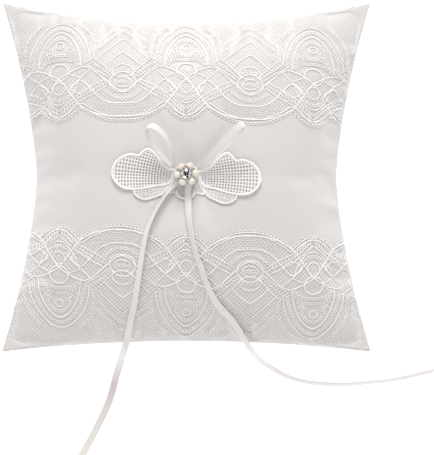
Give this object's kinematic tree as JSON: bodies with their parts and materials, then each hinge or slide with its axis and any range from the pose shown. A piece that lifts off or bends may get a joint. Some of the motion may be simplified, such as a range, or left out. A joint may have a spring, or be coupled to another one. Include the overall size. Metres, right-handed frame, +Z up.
{
  "type": "ring bearer pillow",
  "caption": "Stuffed satin pillow with scalloped lace bands, a lace butterfly, a ribbon bow with long tails for tying rings, and a pearl and crystal button.",
  "frame": {"origin": "middle of the pillow's four ears, on the surface that the pillow lies on", "axes": "+X across the pillow, +Y towards its upper edge and away from the ribbon tails, +Z up out of the front cover"},
  "size_m": [0.2635, 0.3143, 0.079],
  "materials": {
    "satin": "ivory satin, soft sheen",
    "filling": "loose white polyester fibre",
    "lace": "ivory corded lace, matt thread",
    "ribbon": "narrow ivory satin ribbon",
    "silver": "silver plated cast metal",
    "crystal": "cut clear crystal",
    "pearl": "cream imitation pearl",
    "thread": "ivory sewing thread"
  },
  "bodies": {
    "pillow": {"front_cover": "satin", "back_cover": "satin", "fibre_filling": "filling", "upper_lace_band": "lace", "lower_lace_band": "lace", "butterfly_body": "lace", "bow_knot": "ribbon", "left_ribbon_tail": "ribbon", "right_ribbon_tail": "ribbon", "sewing_thread": "thread"},
    "left_wing": {"butterfly_left_wing": "lace"},
    "right_wing": {"butterfly_right_wing": "lace"},
    "left_loop": {"bow_left_loop": "ribbon"},
    "right_loop": {"bow_right_loop": "ribbon"},
    "button": {"brooch_base": "silver", "brooch_shank": "silver", "crystal_setting": "silver", "crystal": "crystal", "pearl_1": "pearl", "pearl_2": "pearl", "pearl_3": "pearl", "pearl_4": "pearl", "pearl_5": "pearl", "pearl_6": "pearl"}
  },
  "joints": [
    {"name": "left_wing_lift", "type": "hinge", "parent": "pillow", "child": "left_wing", "pos_m": [-0.00633, 0.00084, 0.05472], "axis": [0.4442, 0.8909, -0.0947], "range_deg": [0, 20]},
    {"name": "right_wing_lift", "type": "hinge", "parent": "pillow", "child": "right_wing", "pos_m": [0.00665, 0.00016, 0.05468], "axis": [0.3484, -0.9319, 0.1011], "range_deg": [0, 20]},
    {"name": "left_loop_lift", "type": "hinge", "parent": "pillow", "child": "left_loop", "pos_m": [-0.0074, 0.0023, 0.05765], "axis": [0.8539, 0.5205, 0], "range_deg": [0, 30]},
    {"name": "right_loop_lift", "type": "hinge", "parent": "pillow", "child": "right_loop", "pos_m": [0.0082, 0.001, 0.05765], "axis": [0.6919, -0.722, 0], "range_deg": [0, 30]},
    {"name": "button_swivel", "type": "hinge", "parent": "pillow", "child": "button", "pos_m": [0, -0.0025, 0.05995], "axis": [0, 0, 1], "range_deg": [-30, 30]}
  ]
}
